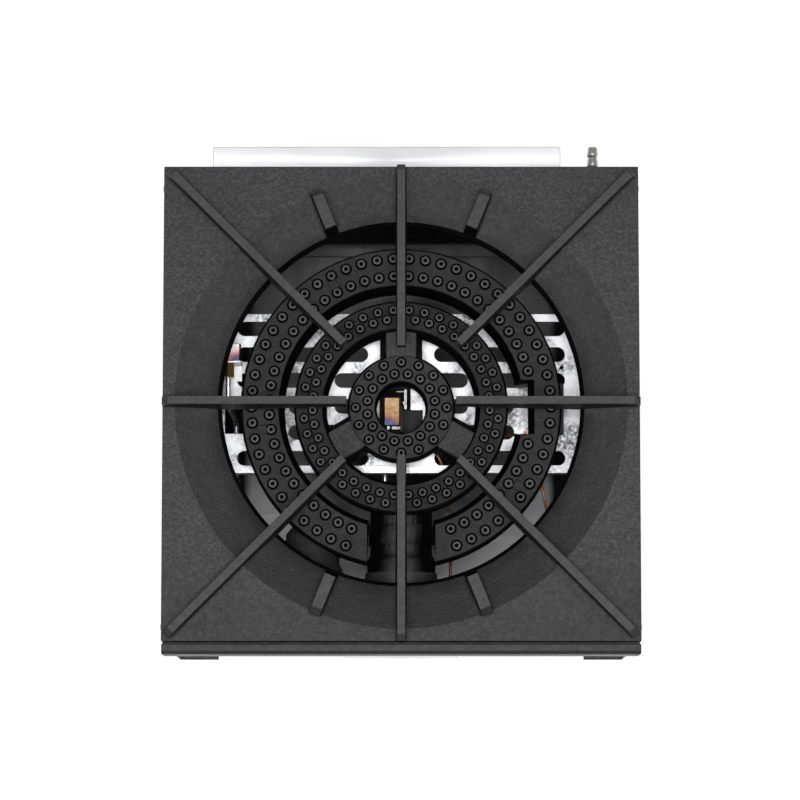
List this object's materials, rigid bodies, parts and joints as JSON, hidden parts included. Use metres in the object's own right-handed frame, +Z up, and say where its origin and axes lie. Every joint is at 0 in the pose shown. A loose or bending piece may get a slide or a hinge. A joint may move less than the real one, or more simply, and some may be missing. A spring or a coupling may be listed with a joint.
{
  "type": "two burner gas stove",
  "caption": "Floor-standing gas stove with a square cast pan stand over concentric ring burners, with knobs, pilots, a slide-out drip tray and adjustable feet.",
  "frame": {"origin": "on the floor, below the middle of the stove's overall box", "axes": "+X to the right of someone facing the knobs, +Y to the rear, +Z up"},
  "size_m": [0.457, 0.5074, 0.6],
  "materials": {
    "cast_black": "matt black enamel",
    "black_paint": "black powder coat",
    "bright_sheet": "galvanised sheet",
    "stainless": "brushed stainless",
    "dark_bracket": "sooted steel",
    "brass": "turned brass",
    "inlet_plated": "nickel plated",
    "silver_tube": "drawn tube",
    "copper": "drawn copper",
    "heat_tinted": "heat-tinted steel",
    "knob_black": "moulded black",
    "dial_plate": "satin",
    "zinc": "zinc plated"
  },
  "bodies": {
    "stove": {"burner_support": "bright_sheet", "centre_burner_cap": "cast_black", "centre_pilot_bracket": "dark_bracket", "centre_pilot_burner": "brass", "centre_pilot_hood": "heat_tinted", "centre_pilot_tube": "silver_tube", "centre_pilot_valve": "brass", "centre_sensor_tube": "copper", "control_panel": "black_paint", "front_rail": "black_paint", "gas_inlet": "inlet_plated", "gas_manifold": "black_paint", "inlet_nut": "inlet_plated", "inner_burner_base": "cast_black", "inner_dial": "dial_plate", "inner_jet": "brass", "inner_valve": "brass", "left_side_panel": "black_paint", "leg_front_left": "black_paint", "leg_front_right": "black_paint", "leg_rear_left": "black_paint", "leg_rear_right": "black_paint", "lower_front_panel": "black_paint", "manifold_plug": "black_paint", "middle_burner_cap": "cast_black", "outer_burner_base": "cast_black", "outer_burner_cap": "cast_black", "outer_dial": "dial_plate", "outer_jet": "brass", "outer_pilot_bracket": "bright_sheet", "outer_pilot_burner": "brass", "outer_pilot_hood": "heat_tinted", "outer_pilot_tube": "silver_tube", "outer_pilot_valve": "brass", "outer_sensor_tube": "copper", "outer_valve": "brass", "rear_baffle": "black_paint", "rear_panel": "black_paint", "rear_standoff": "stainless", "right_side_panel": "black_paint", "support_bracket_left": "bright_sheet", "support_bracket_right": "bright_sheet", "tray_runner_left": "bright_sheet", "tray_runner_right": "bright_sheet"},
    "pan_stand": {"top_grate": "cast_black"},
    "tray": {"drip_tray": "stainless", "tray_pull": "stainless"},
    "outer_control": {"outer_knob": "knob_black", "outer_stem": "stainless"},
    "inner_control": {"inner_knob": "knob_black", "inner_stem": "stainless"},
    "outer_shutter": {"outer_air_shutter": "black_paint"},
    "inner_shutter": {"inner_air_shutter": "black_paint"},
    "front_left_foot": {"foot_front_left": "zinc"},
    "front_right_foot": {"foot_front_right": "zinc"},
    "rear_left_foot": {"foot_rear_left": "zinc"},
    "rear_right_foot": {"foot_rear_right": "zinc"}
  },
  "joints": [
    {"name": "pan_stand_lift", "type": "slide", "parent": "stove", "child": "pan_stand", "axis": [0, 0, 1], "range_m": [0, 0.1]},
    {"name": "tray_slide", "type": "slide", "parent": "stove", "child": "tray", "axis": [0, -1, 0], "range_m": [0, 0.36]},
    {"name": "outer_knob_turn", "type": "hinge", "parent": "stove", "child": "outer_control", "pos_m": [-0.086, -0.24, 0.512], "axis": [0, -1, 0], "range_deg": [0, 90]},
    {"name": "outer_shutter_turn", "type": "hinge", "parent": "stove", "child": "outer_shutter", "pos_m": [-0.086, -0.184, 0.512], "axis": [0, -1, 0], "range_deg": [0, 45]},
    {"name": "inner_knob_turn", "type": "hinge", "parent": "stove", "child": "inner_control", "pos_m": [0, -0.24, 0.512], "axis": [0, -1, 0], "range_deg": [0, 90]},
    {"name": "inner_shutter_turn", "type": "hinge", "parent": "stove", "child": "inner_shutter", "pos_m": [0, -0.184, 0.512], "axis": [0, -1, 0], "range_deg": [0, 45]},
    {"name": "front_left_foot_screw", "type": "slide", "parent": "stove", "child": "front_left_foot", "axis": [0, 0, -1], "range_m": [0, 0.025]},
    {"name": "front_right_foot_screw", "type": "slide", "parent": "stove", "child": "front_right_foot", "axis": [0, 0, -1], "range_m": [0, 0.025]},
    {"name": "rear_left_foot_screw", "type": "slide", "parent": "stove", "child": "rear_left_foot", "axis": [0, 0, -1], "range_m": [0, 0.025]},
    {"name": "rear_right_foot_screw", "type": "slide", "parent": "stove", "child": "rear_right_foot", "axis": [0, 0, -1], "range_m": [0, 0.025]}
  ]
}
